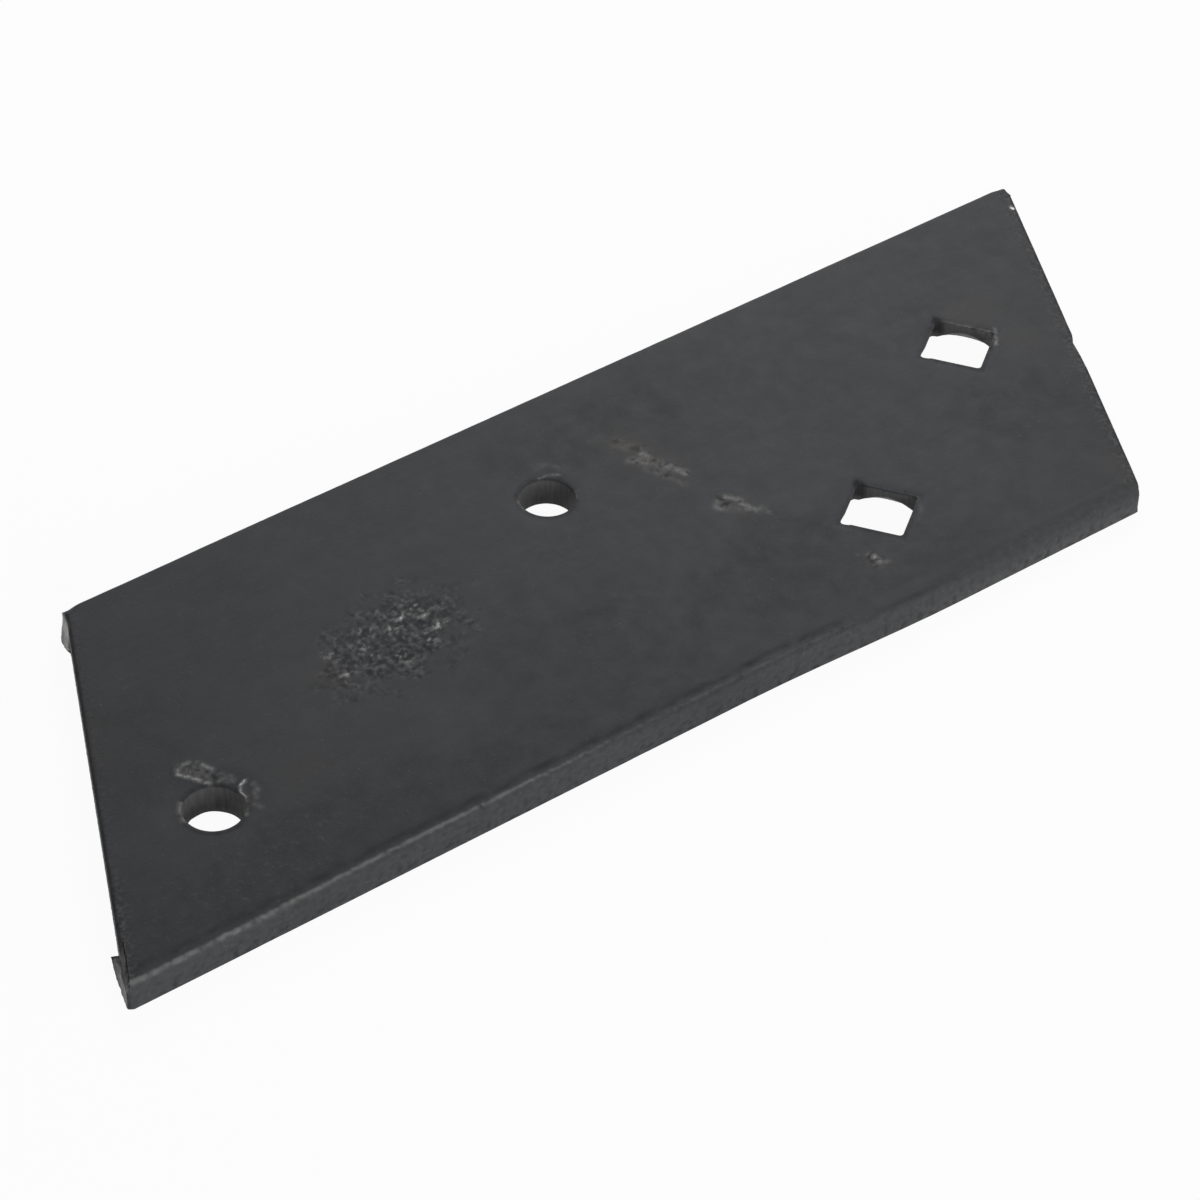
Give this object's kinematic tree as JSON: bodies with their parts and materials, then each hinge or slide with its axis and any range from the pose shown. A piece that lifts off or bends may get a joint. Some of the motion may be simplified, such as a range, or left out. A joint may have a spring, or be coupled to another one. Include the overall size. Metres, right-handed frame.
{
  "type": "plough landside",
  "caption": "Flat steel landside plate for a plough body: a sheared parallelogram with countersunk square bolt holes at the share end and round bolt holes behind.",
  "frame": {"origin": "middle of the outer face, on which the plate lies", "axes": "+X along the plate towards the share, +Y across the plate towards its far long edge, +Z through the thickness from the outer wear face to the inner face"},
  "size_m": [0.3344, 0.112, 0.008],
  "materials": {
    "scaled_steel": "dark hot-rolled scale under a thin dull black coat, with bare metal at burrs and edges"
  },
  "bodies": {
    "root": {"landside_plate": "scaled_steel"}
  },
  "joints": []
}
